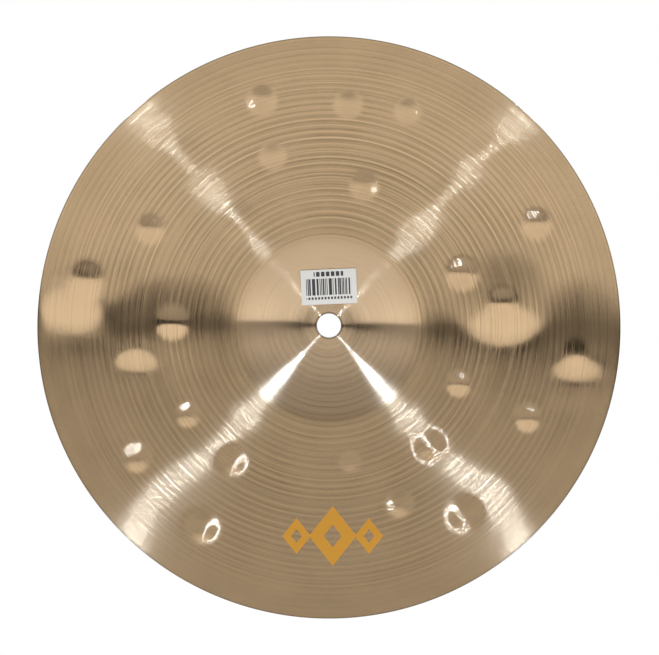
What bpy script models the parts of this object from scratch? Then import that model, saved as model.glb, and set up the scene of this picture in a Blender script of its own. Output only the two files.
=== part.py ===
"""A 12 inch splash cymbal in cast bronze, with a paper price label stuck inside its bell.

Metres, +Z up. The cymbal stands bell up in its playing attitude, its axis on Z and its rim on
Z = 0. The label is on the -Y side of the bell.
"""

from math import cos, radians, sin, sqrt

import bmesh
import bpy
import numpy as np
from mathutils import Vector

# Plan sizes
CYMBAL_DIAMETER = 0.3048  # 12 in across the rim
BELL_DIAMETER = 0.098  # where the bell meets the bow
HOLE_DIAMETER = 0.0127  # 1/2 in, for the sleeve of a cymbal stand
FELT_SEAT_WIDTH = 0.0052  # the flat land round the hole, from the hole's edge outwards

# Heights of the underside
BELL_RISE = 0.0145  # from the foot of the bell to the flat land
BOW_RISE = 0.012  # from the rim to the foot of the bell
BELL_FOOT_BLEND = 0.0012  # how softly the bell's side runs into the bow

# Thickness of the metal
BELL_THICKNESS = 0.0009
RIM_THICKNESS = 0.0005
RIM_NOSE = 0.00012  # how far the worn edge stands out at half its thickness

# Hammer blows, struck from the top, which stand out as soft bosses on the underside
BLOW_DIAMETER = 0.020
BLOW_DEPTH = 0.00045
# Each blow's bearing from +X in degrees, and its place across the bow from the bell (0) to the rim (1)
INNER_BLOWS = (
    (23, 0.24), (49, 0.31), (79, 0.20), (126, 0.36), (149, 0.36), (183, 0.33), (284, 0.29), (338, 0.28),
)
MIDDLE_BLOWS = (
    (68, 0.47), (174, 0.48), (211, 0.56), (228, 0.42), (253, 0.44), (354, 0.41),
)
OUTER_BLOWS = (
    (8, 0.79), (24, 0.62), (55, 0.71), (122, 0.72), (146, 0.69), (192, 0.77), (253, 0.74), (276, 0.66),
    (290, 0.69), (333, 0.72),
)

# Price label
LABEL_WIDTH = 0.029
LABEL_HEIGHT = 0.0185
LABEL_THICKNESS = 0.0002
LABEL_GAP = 0.0003  # between the paper and the bell
LABEL_DISTANCE = 0.0206  # from the cymbal's axis to the label's centre
LABEL_TURN = radians(-2.5)

# Fineness of the mesh
TURNED_STEPS = 96
BELL_RINGS = 5
FOOT_RINGS = 3
BOW_RINGS = 14
LABEL_CELLS = (12, 8)
SLOPE_STEP = 0.0002  # how far apart two heights are read for a slope

# Radii worked out from the plan sizes
RIM = CYMBAL_DIAMETER / 2
LIP = RIM - RIM_NOSE  # the lowest circle of the rim
BELL_FOOT = BELL_DIAMETER / 2
HOLE = HOLE_DIAMETER / 2
SEAT_EDGE = HOLE + FELT_SEAT_WIDTH


def bow_height(radius):
    """The underside of the bow, which is part of a large sphere about the axis."""
    return BOW_RISE * (LIP**2 - radius**2) / (LIP**2 - BELL_FOOT**2)


def bell_height(radius):
    """The underside of the bell: a flat land round the hole, then an arc that leaves it level."""
    run = BELL_FOOT - SEAT_EDGE
    arc = (run**2 + BELL_RISE**2) / (2 * BELL_RISE)
    out = min(max(radius - SEAT_EDGE, 0), arc)
    return BOW_RISE + BELL_RISE - arc + sqrt(arc**2 - out**2)


def underside(radius):
    """The higher of bell and bow, blended where they meet."""
    bell = bell_height(radius)
    bow = bow_height(radius)
    if radius <= SEAT_EDGE:
        return bell
    return (bell + bow + sqrt((bell - bow) ** 2 + BELL_FOOT_BLEND**2)) / 2


def slope(radius):
    """The steepness of the underside, read across a short step inside the cymbal."""
    inner = max(radius - SLOPE_STEP, HOLE)
    outer = min(radius + SLOPE_STEP, LIP)
    return (underside(outer) - underside(inner)) / (outer - inner)


def thickness(radius):
    """The metal is even through the bell, and lathed thinner towards the rim."""
    way = max(radius - BELL_FOOT, 0) / (RIM - BELL_FOOT)
    return BELL_THICKNESS + way * (RIM_THICKNESS - BELL_THICKNESS)


def top(radius):
    return underside(radius) + thickness(radius) * sqrt(1 + slope(radius) ** 2)


def blow_places():
    """The centre of each hammer blow, as seen along the axis."""
    for bearing, across in INNER_BLOWS + MIDDLE_BLOWS + OUTER_BLOWS:
        distance = BELL_FOOT + across * (RIM - BELL_FOOT)
        yield distance * cos(radians(bearing)), distance * sin(radians(bearing))


def material(name, colour, roughness, metallic):
    made = bpy.data.materials.new(name)
    made.use_nodes = True
    shader = made.node_tree.nodes["Principled BSDF"]
    shader.inputs["Base Color"].default_value = (*colour, 1)
    shader.inputs["Roughness"].default_value = roughness
    shader.inputs["Metallic"].default_value = metallic
    made.diffuse_color = (*colour, 1)
    return made


def add_object(name, mesh, collection, surface):
    made = bpy.data.objects.new(name, mesh)
    made.data.materials.append(surface)
    collection.objects.link(made)
    return made


def ring_radii():
    """The radii at which the section has a point, from the hole out to just inside the rim's nose."""
    foot_reach = 4 * BELL_FOOT_BLEND
    bell = np.linspace(SEAT_EDGE, BELL_FOOT - foot_reach, BELL_RINGS + 1)
    foot = np.linspace(BELL_FOOT - foot_reach, BELL_FOOT + foot_reach, FOOT_RINGS + 2)[1:]
    bow = np.linspace(BELL_FOOT + foot_reach, LIP, BOW_RINGS + 1)[1:]
    return [HOLE, *bell, *foot, *bow]


def cymbal_section():
    """The turned section as a closed outline: out along the top, round the rim, back underneath."""
    radii = ring_radii()
    outline = [(radius, top(radius)) for radius in radii]
    outline.append((RIM, (underside(LIP) + top(LIP)) / 2))
    outline += [(radius, underside(radius)) for radius in reversed(radii)]
    section = bmesh.new()
    corners = [section.verts.new((radius, 0, height)) for radius, height in outline]
    for corner, following in zip(corners, corners[1:] + corners[:1]):
        section.edges.new((corner, following))
    mesh = bpy.data.meshes.new("cymbal_section")
    section.to_mesh(mesh)
    section.free()
    return mesh


def hammer(mesh):
    """Moves each point down by the blows that reach it, the same on both faces."""
    places = list(blow_places())
    reach = BLOW_DIAMETER / 2
    for vertex in mesh.vertices:
        for x, y in places:
            share = ((vertex.co.x - x) ** 2 + (vertex.co.y - y) ** 2) / reach**2
            if share < 1:
                vertex.co.z -= BLOW_DEPTH * (1 - share) ** 2


def make_cymbal(collection):
    bronze = material("bronze", (0.62, 0.42, 0.22), 0.35, 1.0)
    turned = add_object("turned_blank", cymbal_section(), collection, bronze)
    screw = turned.modifiers.new("Turn", "SCREW")
    screw.steps = TURNED_STEPS
    screw.render_steps = TURNED_STEPS
    screw.use_merge_vertices = True
    screw.merge_threshold = 0.00001
    screw.use_smooth_shade = True
    graph = bpy.context.evaluated_depsgraph_get()
    mesh = bpy.data.meshes.new_from_object(turned.evaluated_get(graph))
    mesh.name = "cymbal"
    bpy.data.objects.remove(turned)
    hammer(mesh)
    mesh.shade_smooth()
    mesh.set_sharp_from_angle(angle=radians(40))
    cymbal = bpy.data.objects.new("cymbal", mesh)
    collection.objects.link(cymbal)
    return cymbal


def make_label(collection):
    """A flat sheet, laid along the inside of the bell and then given its thickness."""
    paper = material("paper", (0.75, 0.76, 0.78), 0.6, 0.0)
    sheet = bmesh.new()
    bmesh.ops.create_grid(sheet, x_segments=LABEL_CELLS[0], y_segments=LABEL_CELLS[1], size=0.5)
    bmesh.ops.scale(sheet, vec=(LABEL_WIDTH, LABEL_HEIGHT, 1), verts=sheet.verts)
    centre = Vector((0, -LABEL_DISTANCE, 0))
    for vertex in sheet.verts:
        x = vertex.co.x * cos(LABEL_TURN) - vertex.co.y * sin(LABEL_TURN)
        y = vertex.co.x * sin(LABEL_TURN) + vertex.co.y * cos(LABEL_TURN)
        place = centre + Vector((x, y, 0))
        place.z = underside(place.length) - LABEL_GAP
        vertex.co = place
    mesh = bpy.data.meshes.new("paper_label")
    sheet.to_mesh(mesh)
    sheet.free()
    label = add_object("paper_label", mesh, collection, paper)
    solid = label.modifiers.new("Paper thickness", "SOLIDIFY")
    solid.thickness = LABEL_THICKNESS
    solid.offset = -1
    return label


for old in list(bpy.data.objects):
    bpy.data.objects.remove(old)
splash_cymbal = bpy.data.collections.new("splash_cymbal")
bpy.context.scene.collection.children.link(splash_cymbal)
make_cymbal(splash_cymbal)
make_label(splash_cymbal)
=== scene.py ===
"""A 12 inch splash cymbal, bell up, seen from below as in its photograph. Metres, +Z up."""

import bmesh
import bpy
import numpy as np
from math import cos, pi, radians, sin, sqrt
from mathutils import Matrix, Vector


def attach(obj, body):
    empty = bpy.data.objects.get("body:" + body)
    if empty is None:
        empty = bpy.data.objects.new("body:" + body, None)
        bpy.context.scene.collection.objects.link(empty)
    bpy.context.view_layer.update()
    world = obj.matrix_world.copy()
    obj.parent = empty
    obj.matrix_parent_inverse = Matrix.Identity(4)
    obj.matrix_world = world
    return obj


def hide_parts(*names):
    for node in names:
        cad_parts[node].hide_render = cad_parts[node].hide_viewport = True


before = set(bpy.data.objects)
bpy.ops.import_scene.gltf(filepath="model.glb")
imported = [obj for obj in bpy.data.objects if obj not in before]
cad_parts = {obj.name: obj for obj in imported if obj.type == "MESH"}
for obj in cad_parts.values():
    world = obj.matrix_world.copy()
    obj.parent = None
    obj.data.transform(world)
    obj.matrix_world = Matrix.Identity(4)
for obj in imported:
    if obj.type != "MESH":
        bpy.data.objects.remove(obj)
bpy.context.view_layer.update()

# Cymbal
# One disc of cast bronze, pressed to a bell and a bow, lathed thin towards the rim on both faces
# and hammered from the top. The blows stand out underneath as soft, smooth bosses.
rim = 0.1524
rim_nose = 0.00012
lip = rim - rim_nose
bell_foot = 0.049
foot_blend = 0.0012
hole = 0.00635
seat_width = 0.0052
seat_edge = hole + seat_width
bell_rise = 0.0145
bow_rise = 0.012
bell_thickness = 0.0009
rim_thickness = 0.0005

# Fineness of the section. The foot of the bell has the closest points
slope_step = 0.0002
foot_from = 0.044
foot_to = 0.054
edge_width = 0.0006
seat_points = 7
bell_points = 24
foot_points = 12
bow_points = 66
turned_steps = 360
start_size = 0.001
merge_distance = 0.000005
crease_angle = radians(35)

# Each blow stands out below as a boss. In millimetres: the centre in X and Y, and the reach. Last
# comes how steep its side is.
blows = (
    (-127, -25.5, 11.5, 0.055), (-82, -3, 10.5, 0.070), (91, -12.5, 10, 0.065), (129, 13, 8, 0.020),
    (-93.5, -51.5, 9, 0.125), (70, -28.5, 10, 0.175), (108.5, -54.5, 9.5, 0.155), (68, 29.5, 8, 0.22),
    (104, 47, 9, 0.21), (-35, -119, 10, 0.20), (10, -117, 9.5, 0.155), (41, -113.5, 8.5, 0.16),
    (-29.5, -90, 9, 0.10), (18.5, -74.5, 9.5, 0.20), (-50.5, 70.5, 10, 0.13), (-100.5, 68, 10, 0.17),
    (-74, 45.5, 8.5, 0.165), (-66.5, 104.5, 11, 0.15), (53, 62, 10.5, 0.125), (71, 98, 11.5, 0.12),
    (37, 92.5, 9.5, 0.18), (11, 70.5, 7, 0.11),
)
# Rolling and hammering also leave broad soft swells. In millimetres: the centre in X and Y, the
# reach in X and Y, and the depth, which is below zero for a hollow.
swells = (
    (-80, 0.5, 42, 30, 0.50), (-105, 6, 18, 22, 0.14), (-108, -24, 14, 18, 0.08),
    (-102, 25.5, 16, 14, -0.54), (-137, 12, 28, 34, -0.76), (91, -14, 29, 28, 0.62),
    (132, 0, 24, 30, 0.25), (97, -62, 30, 40, -0.47), (129.5, 32, 22, 17, -0.65),
    (-46, -55.5, 13, 13, 0.42), (-77, -89, 14, 14, 0.35), (-62, -73, 12, 12, -0.09),
    (60.5, -69.5, 12, 12, 0.29), (85, -92.5, 12, 12, 0.26), (44, -48, 15, 15, -0.29),
    (76, -81.5, 11, 11, -0.07), (-41, 44.5, 17, 17, 0.30), (39.5, 45.5, 17, 17, 0.32),
    (-71, 101, 38, 38, 0.60), (69, 102, 38, 38, 0.66), (85.5, 88.5, 14, 14, 0.13),
)
# Patches that rubbing has left as smooth as the blows, given as the swells are
rubbed_patches = ((-137, -10, 24, 20), (-101, 17, 15, 11), (93, 1, 23, 15), (131, 22, 18, 12))
# The swells die away over these widths, so that the foot of the bell and the rim stay true
bell_calm = 0.014
rim_calm = 0.003
# A boss with the section (1 - t * t) ** 2 is at its steepest 1.54 times its depth over its reach
boss_steepness = 1.54


def underside(radius):
    """Height of the lower face: a flat felt seat, the bell's arc and the bow, blended."""
    run = bell_foot - seat_edge
    arc = (run**2 + bell_rise**2) / (2 * bell_rise)
    out = min(max(radius - seat_edge, 0), arc)
    bell = bow_rise + bell_rise - arc + sqrt(arc**2 - out**2)
    bow = bow_rise * (lip**2 - radius**2) / (lip**2 - bell_foot**2)
    if radius <= seat_edge:
        return bell
    return (bell + bow + sqrt((bell - bow) ** 2 + foot_blend**2)) / 2


def top_face(radius):
    """Height of the upper face, which is the lower one plus the metal, square to its slope."""
    inner = max(radius - slope_step, hole)
    outer = min(radius + slope_step, lip)
    slope = (underside(outer) - underside(inner)) / (outer - inner)
    way = max(radius - bell_foot, 0) / (rim - bell_foot)
    metal = bell_thickness + way * (rim_thickness - bell_thickness)
    return underside(radius) + metal * sqrt(1 + slope**2)


section_radii = [
    *np.linspace(hole, seat_edge, seat_points),
    *np.linspace(seat_edge, foot_from, bell_points)[1:],
    *np.linspace(foot_from, foot_to, foot_points)[1:],
    *np.linspace(foot_to, lip - edge_width, bow_points)[1:],
    lip - edge_width / 2,
    lip,
]
section = [(radius, top_face(radius)) for radius in section_radii]
section.append((rim, (underside(lip) + top_face(lip)) / 2))
section += [(radius, underside(radius)) for radius in reversed(section_radii)]

bpy.ops.object.select_all(action="DESELECT")
bpy.ops.mesh.primitive_plane_add(size=start_size, location=(0, 0, 0))
cymbal = bpy.context.active_object
cymbal.name = "lathed_cymbal"
bpy.ops.object.mode_set(mode="EDIT")
bpy.ops.mesh.select_all(action="SELECT")
bpy.ops.mesh.merge(type="CENTER")
place = Vector((section[0][0], 0, section[0][1]))
bpy.ops.transform.translate(value=place)
for radius, height in section[1:]:
    step = Vector((radius, 0, height)) - place
    bpy.ops.mesh.extrude_region_move(TRANSFORM_OT_translate={"value": step})
    place += step
outline = bmesh.from_edit_mesh(cymbal.data)
bpy.ops.mesh.select_all(action="DESELECT")
for corner in outline.verts:
    corner.select = len(corner.link_edges) == 1
bpy.ops.mesh.edge_face_add()
bpy.ops.mesh.select_all(action="SELECT")
bpy.ops.mesh.spin(steps=turned_steps, angle=2 * pi, center=(0, 0, 0), axis=(0, 0, 1))
bpy.ops.mesh.select_all(action="SELECT")
bpy.ops.mesh.remove_doubles(threshold=merge_distance)
bpy.ops.mesh.normals_make_consistent(inside=False)
bpy.ops.object.mode_set(mode="OBJECT")

points = np.empty(len(cymbal.data.vertices) * 3)
cymbal.data.vertices.foreach_get("co", points)
points = points.reshape(-1, 3)
away = np.hypot(points[:, 0], points[:, 1])
calm = np.clip((away - bell_foot) / bell_calm, 0, 1) * np.clip((lip - away) / rim_calm, 0, 1)
struck = np.zeros(len(points))


def metres(sizes):
    """Sizes that are given in millimetres, in metres."""
    return [size / 1000 for size in sizes]


def nearness(x, y, reach_x, reach_y):
    """For each point, 1 at a place on the bow, falling to 0 at its reach."""
    apart = ((points[:, 0] - x) / reach_x) ** 2 + ((points[:, 1] - y) / reach_y) ** 2
    return np.clip(1 - apart, 0, 1)


for *place_and_reach, steepness in blows:
    x, y, reach = metres(place_and_reach)
    boss = nearness(x, y, reach, reach)
    points[:, 2] -= steepness * reach / boss_steepness * boss**2
    struck = np.maximum(struck, boss)
for swell in swells:
    *place_and_reach, depth = metres(swell)
    points[:, 2] -= depth * nearness(*place_and_reach) ** 2 * calm
for patch in rubbed_patches:
    struck = np.maximum(struck, nearness(*metres(patch)))
cymbal.data.vertices.foreach_set("co", points.ravel())
cymbal.data.attributes.new("struck", "FLOAT", "POINT").data.foreach_set("value", struck)
cymbal.data.update()
bpy.ops.object.shade_smooth_by_angle(angle=crease_angle)


class Shade:
    """One output of a node tree, which Python's operators turn into Math nodes."""

    def __init__(self, tree, socket):
        self.tree = tree
        self.socket = socket

    def node(self, kind, settings=(), output=0, **sockets):
        """Adds a node, sets it up, fills its sockets and gives one of its outputs."""
        made = self.tree.nodes.new(kind)
        for name, value in dict(settings).items():
            setattr(made, name, value)
        for name, value in sockets.items():
            self.fill(made.inputs[name.replace("_", " ")], value)
        return Shade(self.tree, made.outputs[output])

    def fill(self, socket, value):
        """Links a value to a socket, or sets the socket to it where it is a plain number or colour."""
        if isinstance(value, Shade):
            self.tree.links.new(value.socket, socket)
        else:
            socket.default_value = value

    def math(self, operation, *values):
        made = self.tree.nodes.new("ShaderNodeMath")
        made.operation = operation
        for socket, value in zip(made.inputs, values):
            self.fill(socket, value)
        return Shade(self.tree, made.outputs[0])

    def vector(self, operation, *values):
        made = self.tree.nodes.new("ShaderNodeVectorMath")
        made.operation = operation
        for socket, value in zip(made.inputs, values):
            self.fill(socket, value)
        return Shade(self.tree, made.outputs[0])

    def __add__(self, other):
        return self.math("ADD", self, other)

    def __sub__(self, other):
        return self.math("SUBTRACT", self, other)

    def __rsub__(self, other):
        return self.math("SUBTRACT", other, self)

    def __mul__(self, other):
        return self.math("MULTIPLY", self, other)

    def __truediv__(self, other):
        return self.math("DIVIDE", self, other)

    __radd__ = __add__
    __rmul__ = __mul__

    def __lt__(self, other):
        return self.math("LESS_THAN", self, other)

    def __gt__(self, other):
        return self.math("GREATER_THAN", self, other)

    def __abs__(self):
        return self.math("ABSOLUTE", self)

    def rise(self, low, high):
        """0 up to low, 1 from high on, and smooth between them. It falls where low is the higher."""
        settings = {"interpolation_type": "SMOOTHSTEP"}
        return self.node("ShaderNodeMapRange", settings, Value=self, From_Min=low, From_Max=high)

    def clamp(self, low, high):
        return self.node("ShaderNodeClamp", Value=self, Min=low, Max=high)

    def between(self, first, second):
        """The first number where this value is 0, and the second where it is 1."""
        return self * (second - first) + first

    def blend(self, first, second):
        """The first colour where this value is 0, and the second where it is 1."""
        settings = {"data_type": "RGBA"}
        return self.node("ShaderNodeMix", settings, "Result", Factor=self, A=first, B=second)

    def streaks(self, width, detail):
        """Noise along this one value, in bands about as wide as width."""
        settings = {"noise_dimensions": "1D"}
        return self.node("ShaderNodeTexNoise", settings, W=self / width, Scale=1.0, Detail=detail)


def surface(name, colour, roughness, metallic):
    """A material with a plain Principled shader. Gives the material, its shader and its axes."""
    made = bpy.data.materials.new(name)
    made.use_nodes = True
    tree = made.node_tree
    shader = tree.nodes["Principled BSDF"]
    shader.inputs["Base Color"].default_value = (*colour, 1)
    shader.inputs["Roughness"].default_value = roughness
    shader.inputs["Metallic"].default_value = metallic
    place = tree.nodes.new("ShaderNodeTexCoord").outputs["Object"]
    axes = tree.nodes.new("ShaderNodeSeparateXYZ")
    tree.links.new(place, axes.inputs[0])
    return made, shader, [Shade(tree, output) for output in (place, *axes.outputs)]


bronze_colour = (0.65, 0.46, 0.272)
bell_colour = (0.73, 0.535, 0.34)
groove_colour = (0.42, 0.29, 0.155)
painted_edge_shade_colour = (0.24, 0.165, 0.09)
bow_roughness = 0.18

bronze, bronze_shader, (place, x, y, z) = surface("lathed_bronze", bronze_colour, bow_roughness, 1.0)
squared = x * x + y * y
radius = squared.math("SQRT", squared)

# The bow's finish begins just inside the foot of the bell, and fades out before the rim
bow_starts_inside = 0.004
bow_full_outside = 0.001
lathing_full = 0.134
lathing_ends = 0.142
struck_smooth = 0.6
struck = radius.node("ShaderNodeAttribute", {"attribute_name": "struck"}, "Fac")
smoothed = struck.rise(0.0, struck_smooth)
on_bow = radius.rise(bell_foot - bow_starts_inside, bell_foot + bow_full_outside)
calm_rim = radius.rise(lathing_ends, lathing_full)

# Rings that the lathe's tool cuts, wide ones and fine ones, deeper in some places than in others.
# The half of the bell by the label has hardly any.
ring_pitch = 0.00325
ring_wander = 1.2
wander_width = 0.012
fine_pitch = 0.0011
fine_strength = 4.0
ring_share = 0.5
fine_share = 0.55
patch_width = 0.030
patch_contrast = 2.5
plain_bell_to = -0.004
ringed_bell_from = 0.016
plain_bell_rings = 0.1
rim_rings = 0.15
struck_rings = 0.05
patches = radius.node("ShaderNodeTexNoise", Vector=place, Scale=1 / patch_width, Detail=2.0) - 0.5
phase = radius * (2 * pi / ring_pitch) + radius.streaks(wander_width, 1.0) * ring_wander
lathe_rings = radius.math("SINE", phase)
fine_rings = (radius.streaks(fine_pitch, 2.0) - 0.5) * fine_strength
bell_lined = y.rise(plain_bell_to, ringed_bell_from).between(plain_bell_rings, 1.0)
lined = on_bow.between(bell_lined, 1.0)
ring_depth = lined * calm_rim.between(rim_rings, 1.0) * smoothed.between(1.0, struck_rings)
ring_depth = ring_depth * (patches * patch_contrast + 1.0)
rings = (lathe_rings * ring_share + fine_rings * fine_share) * ring_depth

# Scratches that run round, too fine to be seen one by one. They lean the metal outwards and
# inwards, which draws each lamp out to a streak from the hole to the rim.
scratch_width = 0.00009
bell_scratch_width = 0.00005
bell_scratch_slope = 8.0
foot_scratch_slope = 14.0
rim_scratch_slope = 9.0
scratch_eases_from = 0.050
scratch_eases_to = 0.110
scratch_ring_share = 0.25
scratch_fine_share = 0.45
scratch_level = 1.2
scratch_contrast = 2.4
struck_scratches = 0.7
ring_slope = 0.002
between_rings = radius.math("COSINE", phase) * scratch_ring_share * ring_depth
between_rings = between_rings + fine_rings * scratch_fine_share * lined
bell_scratch = radius.streaks(bell_scratch_width, 1.0) - 0.5
scratch = on_bow.between(bell_scratch, radius.streaks(scratch_width, 1.0) - 0.5)
scratches = scratch * abs(scratch) * (between_rings * scratch_contrast + scratch_level)
scratches = scratches * smoothed.between(1.0, struck_scratches)
spread = on_bow.between(bell_scratch_slope, foot_scratch_slope)
spread = radius.rise(scratch_eases_from, scratch_eases_to).between(spread, rim_scratch_slope)
outward_tilt = scratches * spread + rings * ring_slope

# The tool's chatter leans the metal a little along the rings. Its noise starts elsewhere, so that
# it doesn't follow the rings.
chatter_start = 1
chatter_width = 0.0014
chatter_slope = 0.008
struck_chatter = 0.3
chatter = (radius + chatter_start).streaks(chatter_width, 2.0) - 0.5
sideways_tilt = chatter * on_bow * smoothed.between(1.0, struck_chatter) * chatter_slope
tilt_x = (x * outward_tilt - y * sideways_tilt) / radius
tilt_y = (y * outward_tilt + x * sideways_tilt) / radius
tilt = radius.node("ShaderNodeCombineXYZ", X=tilt_x, Y=tilt_y)
even_normal = radius.node("ShaderNodeNewGeometry", output="Normal")
tilted_normal = tilt.vector("NORMALIZE", tilt.vector("ADD", even_normal, tilt))
radius.fill(bronze_shader.inputs["Normal"], tilted_normal)
bronze_shader.inputs["Anisotropic"].default_value = 1.0
bronze_shader.inputs["Anisotropic Rotation"].default_value = 0.25

# The crown and the blows are the smoothest, and the foot of the bell is rougher than both its sides
crown_roughness = 0.15
crown_to = 0.020
bell_from = 0.044
bell_roughness = 0.20
foot_added_roughness = 0.08
foot_reach = 0.007
struck_roughness = 0.12
rim_roughness = 0.20
ring_roughness = 0.02
roughness = radius.rise(crown_to, bell_from).between(crown_roughness, bell_roughness)
roughness = on_bow.between(roughness, bow_roughness) + rings * ring_roughness
near_foot = (1 - abs(radius - bell_foot) / foot_reach).clamp(0, 1)
roughness = roughness + near_foot * foot_added_roughness
roughness = roughness + on_bow * (1 - calm_rim) * (rim_roughness - bow_roughness)
roughness = roughness + smoothed * (struck_roughness - bow_roughness)
radius.fill(bronze_shader.inputs["Roughness"], roughness)

# Tarnish lies in the rings and in soft clouds; the rim's and the hole's cut edges carry painted shade
ring_tarnish = 0.22
fine_tarnish = 0.055
cloud_tarnish = 0.40
cloud_contrast = 0.40
struck_clouds = 0.4
bell_clouds = 0.4
rim_edge_width = 0.0004
hole_edge_outside = 0.0012
hole_edge_inside = 0.0004
painted_edge_shade = 0.8
clouds = (patches * cloud_contrast + cloud_tarnish) * smoothed.between(1.0, struck_clouds)
clouds = clouds * on_bow.between(bell_clouds, 1.0)
in_groove = rings * ring_tarnish + fine_rings * ring_depth * fine_tarnish + clouds
tone = on_bow.blend((*bell_colour, 1), (*bronze_colour, 1))
tone = in_groove.rise(0.0, 1.0).blend(tone, (*groove_colour, 1))
# Painted shade: the rim's edge and a thin ring round the hole are blended towards a dark colour
shaded_cut_edges = (radius > lip - rim_edge_width) + radius.rise(hole + hole_edge_outside, hole + hole_edge_inside)
tone = (shaded_cut_edges * painted_edge_shade).blend(tone, (*painted_edge_shade_colour, 1))

# The printed mark is a film of ochre ink that the rings show through: three lozenges in a row
ink_colour = (0.60, 0.27, 0.008)
ink_cover = 0.94
mark_offset = 0.002
mark_distance = 0.1095
lozenge_reach = 0.0125
lozenge_squash = 0.8
lozenge_opening = 0.38
lozenge_gap = 0.019
side_lozenge_size = 0.6
mark_x = x - mark_offset
mark_y = abs(y - mark_distance) * lozenge_squash
mark = 0
for place_along, size in ((-lozenge_gap, side_lozenge_size), (0, 1.0), (lozenge_gap, side_lozenge_size)):
    outer_reach = lozenge_reach * size
    lozenge = abs(mark_x - place_along) + mark_y
    mark = (lozenge < outer_reach) * (lozenge > outer_reach * lozenge_opening) + mark
facing = radius.node("ShaderNodeNewGeometry", output="True Normal")
facing_down = radius.node("ShaderNodeSeparateXYZ", output=2, Vector=facing) < 0.0
ink = mark * facing_down * ink_cover
radius.fill(bronze_shader.inputs["Base Color"], ink.blend(tone, (*ink_colour, 1)))
radius.fill(bronze_shader.inputs["Metallic"], 1 - ink)
cymbal.data.materials.append(bronze)
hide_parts("cymbal")
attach(cymbal, "root")

# Price label
# A small self-adhesive label of coated white paper, printed with plain black bars between two rows
# of blocks. It is stuck inside the bell, beside the hole, and follows the curve of the metal.
label_width = 0.0294
label_height = 0.0185
label_distance = 0.0206
label_turn = radians(-2.5)
label_gap = 0.0003
label_thickness = 0.0002
label_cells = (40, 26)
label_roughness = 0.45
paper_colour = (0.75, 0.74, 0.71)
print_colour = (0.035, 0.035, 0.04)
bar_width = 0.0008
bars_reach = 0.0120
bars_height = 0.0088
bar_level = 0.48
block_pitch = 0.0026
block_share = 0.72
blocks_distance = 0.0068
blocks_reach = 0.0078
blocks_height = 0.0025
fine_block_pitch = 0.0017
fine_block_share = 0.6
fine_blocks_distance = -0.0060
fine_blocks_height = 0.0013
bpy.ops.object.select_all(action="DESELECT")
bpy.ops.mesh.primitive_grid_add(
    x_subdivisions=label_cells[0], y_subdivisions=label_cells[1], size=1, location=(0, 0, 0)
)
label = bpy.context.active_object
label.name = "price_label"
for corner in label.data.vertices:
    across = corner.co.x * label_width
    along = corner.co.y * label_height
    corner_x = across * cos(label_turn) - along * sin(label_turn)
    corner_y = across * sin(label_turn) + along * cos(label_turn) - label_distance
    corner.co = (corner_x, corner_y, underside(sqrt(corner_x**2 + corner_y**2)) - label_gap)
thicken = label.modifiers.new("Paper", "SOLIDIFY")
thicken.thickness = label_thickness
thicken.offset = -1
bpy.ops.object.modifier_apply(modifier="Paper")
bpy.ops.object.shade_smooth_by_angle(angle=crease_angle)
paper, paper_shader, (place, x, y, z) = surface("label_paper", paper_colour, label_roughness, 0.0)
across = x * cos(label_turn) + (y + label_distance) * sin(label_turn)
along = (y + label_distance) * cos(label_turn) - x * sin(label_turn)
in_bars = (abs(across) < bars_reach) * (abs(along) < bars_height / 2)
bars = (across.streaks(bar_width, 0.0) > bar_level) * in_bars
blocks = (abs(along + blocks_distance) < blocks_height / 2) * (abs(across) < blocks_reach)
blocks = blocks * (across.math("FRACT", across / block_pitch + 0.5) < block_share)
fine_blocks = (abs(along + fine_blocks_distance) < fine_blocks_height / 2) * (abs(across) < bars_reach)
fine_blocks = fine_blocks * (across.math("FRACT", across / fine_block_pitch + 0.5) < fine_block_share)
printed = (bars + blocks + fine_blocks).blend((*paper_colour, 1), (*print_colour, 1))
across.fill(paper_shader.inputs["Base Color"], printed)
label.data.materials.append(paper)
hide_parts("paper_label")
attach(label, "root")

# Camera
# A long lens below the cymbal, tipped by 3 degrees so that the bell's hole sits above the centre.
image_width = 659
metres_per_pixel = 0.0005226
sensor_width = 36
camera_distance = 3.0
camera_tilt = radians(3.1)
aim = Vector((0.0003, -0.0004, 0))
camera_data = bpy.data.cameras.new("camera")
camera = bpy.data.objects.new("camera", camera_data)
bpy.context.scene.collection.objects.link(camera)
bpy.context.scene.camera = camera
camera_data.sensor_width = sensor_width
camera_data.lens = sensor_width * camera_distance / (image_width * metres_per_pixel)
looking_up = Vector((0, sin(camera_tilt), cos(camera_tilt)))
camera.location = aim - camera_distance * looking_up
camera.rotation_euler = looking_up.to_track_quat("-Z", "Y").to_euler()

# Floor
# A white floor just under the rim. Its underside is clear, so the view from below passes through.
floor_size = 8
floor_drop = 0.0002
floor_colour = (0.9, 0.9, 0.9)
floor_roughness = 0.9
bpy.ops.object.select_all(action="DESELECT")
bpy.ops.mesh.primitive_plane_add(size=floor_size, location=(0, 0, -floor_drop))
floor = bpy.context.active_object
floor.name = "floor"
floor_paint, floor_shader = surface("floor_paint", floor_colour, floor_roughness, 0.0)[:2]
tree = floor_paint.node_tree
clear = tree.nodes.new("ShaderNodeBsdfTransparent")
mix = tree.nodes.new("ShaderNodeMixShader")
side = tree.nodes.new("ShaderNodeNewGeometry")
tree.links.new(side.outputs["Backfacing"], mix.inputs[0])
tree.links.new(floor_shader.outputs[0], mix.inputs[1])
tree.links.new(clear.outputs[0], mix.inputs[2])
tree.links.new(mix.outputs[0], tree.nodes["Material Output"].inputs["Surface"])
floor.data.materials.append(floor_paint)
floor.visible_glossy = False
floor.visible_diffuse = False
floor.visible_shadow = False

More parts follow.
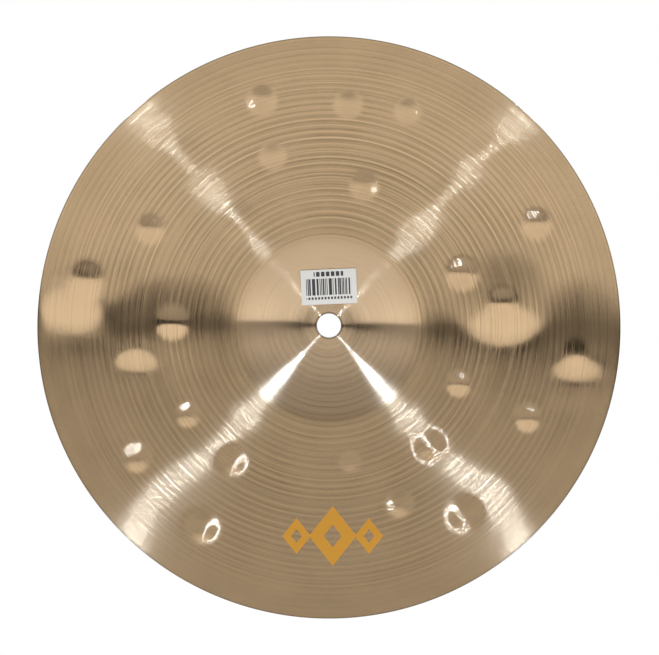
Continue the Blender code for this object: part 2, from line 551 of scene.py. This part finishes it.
# Light
# A white room for the camera. The metal sees a pale half and a dim half, split along X, with a
# dark gap between them, and two softboxes on the diagonals, above and below alike.
pale_near = 1.15
pale_far = 0.83
pale_reach = 0.45
dim_near = 0.30
dim_far = 0.58
dim_reach = 0.25
dim_last = 0.36
dim_last_from = -0.25
dim_last_to = -0.65
half_blend = 0.008
edge_widening = 0.11
edge_widening_reach = 0.4
edge_skew = 0.02
gap_level = 0.0
gap_offset = -0.006
gap_skew = 0.03
gap_shift = 0.06
gap_inside = 0.026
gap_outside = 0.038
gap_reach_inside = 0.36
gap_reach_outside = 0.44
plain_light = 0.80
world = bpy.data.worlds.new("room")
bpy.context.scene.world = world
world.use_nodes = True
tree = world.node_tree
background = tree.nodes["Background"]
directions = Shade(tree, tree.nodes.new("ShaderNodeTexCoord").outputs["Generated"])
across = directions.node("ShaderNodeSeparateXYZ", output=0, Vector=directions)
along = directions.node("ShaderNodeSeparateXYZ", output=1, Vector=directions) - sin(camera_tilt)
widening = abs(across).clamp(0, edge_widening_reach) * edge_widening
past_edge = along - widening - across * edge_skew
pale = pale_near + past_edge.clamp(0, pale_reach) * ((pale_far - pale_near) / pale_reach)
dim = dim_near + (0 - past_edge).clamp(0, dim_reach) * ((dim_far - dim_near) / dim_reach)
dim = dim - past_edge.rise(dim_last_from, dim_last_to) * (dim_far - dim_last)
halves = past_edge.rise(-half_blend, half_blend).between(dim, pale)
gap = abs(along - gap_offset - across * gap_skew).rise(gap_outside, gap_inside)
gap = gap * abs(across + gap_shift).rise(gap_reach_outside, gap_reach_inside)
glossy = directions.node("ShaderNodeLightPath", output="Is Glossy Ray")
seen = directions.node("ShaderNodeLightPath", output="Is Camera Ray")
level = glossy.between(plain_light, gap.between(halves, gap_level))
directions.fill(background.inputs["Strength"], seen.between(level, 1.0))
background.inputs["Color"].default_value = (1, 1, 1, 1)

# Bearings are turned from +X towards -Y, and leans are off the axis below the cymbal, in degrees
softbox_distance = 2.0
softbox_size = 0.155
softbox_power = 14.0
softbox_colour = (0.49, 0.66, 1.0)
softbox_lean = 45
right_bearing = 44.3
left_bearing = 133.7
fill_size = 1.2
fill_power = 10.0
fill_colour = (1, 1, 1)
fill_lean = 30
fill_bearing = 90


def softbox(name, bearing, lean, size, power, colour):
    """A square lamp that faces the cymbal's centre. The camera doesn't see it."""
    lamp = bpy.data.lights.new(name, "AREA")
    lamp.shape = "SQUARE"
    lamp.size = size
    lamp.energy = power
    lamp.color = colour
    holder = bpy.data.objects.new(name, lamp)
    bpy.context.scene.collection.objects.link(holder)
    towards = Vector((
        sin(radians(lean)) * cos(radians(bearing)),
        -sin(radians(lean)) * sin(radians(bearing)),
        -cos(radians(lean)),
    ))
    holder.location = softbox_distance * towards
    holder.rotation_euler = (-towards).to_track_quat("-Z", "Y").to_euler()
    holder.visible_camera = False
    return holder


for name, bearing, lean in (
    ("softbox_right", right_bearing, softbox_lean),
    ("softbox_left", left_bearing, softbox_lean),
    ("top_softbox_right", right_bearing, 180 - softbox_lean),
    ("top_softbox_left", left_bearing, 180 - softbox_lean),
):
    streak_lamp = softbox(name, bearing, lean, softbox_size, softbox_power, softbox_colour)
    streak_lamp.visible_diffuse = False
for name, lean in (("fill_below", fill_lean), ("fill_above", 180 - fill_lean)):
    fill_lamp = softbox(name, fill_bearing, lean, fill_size, fill_power, fill_colour)
    fill_lamp.visible_glossy = False

bpy.context.scene.view_settings.view_transform = "Standard"
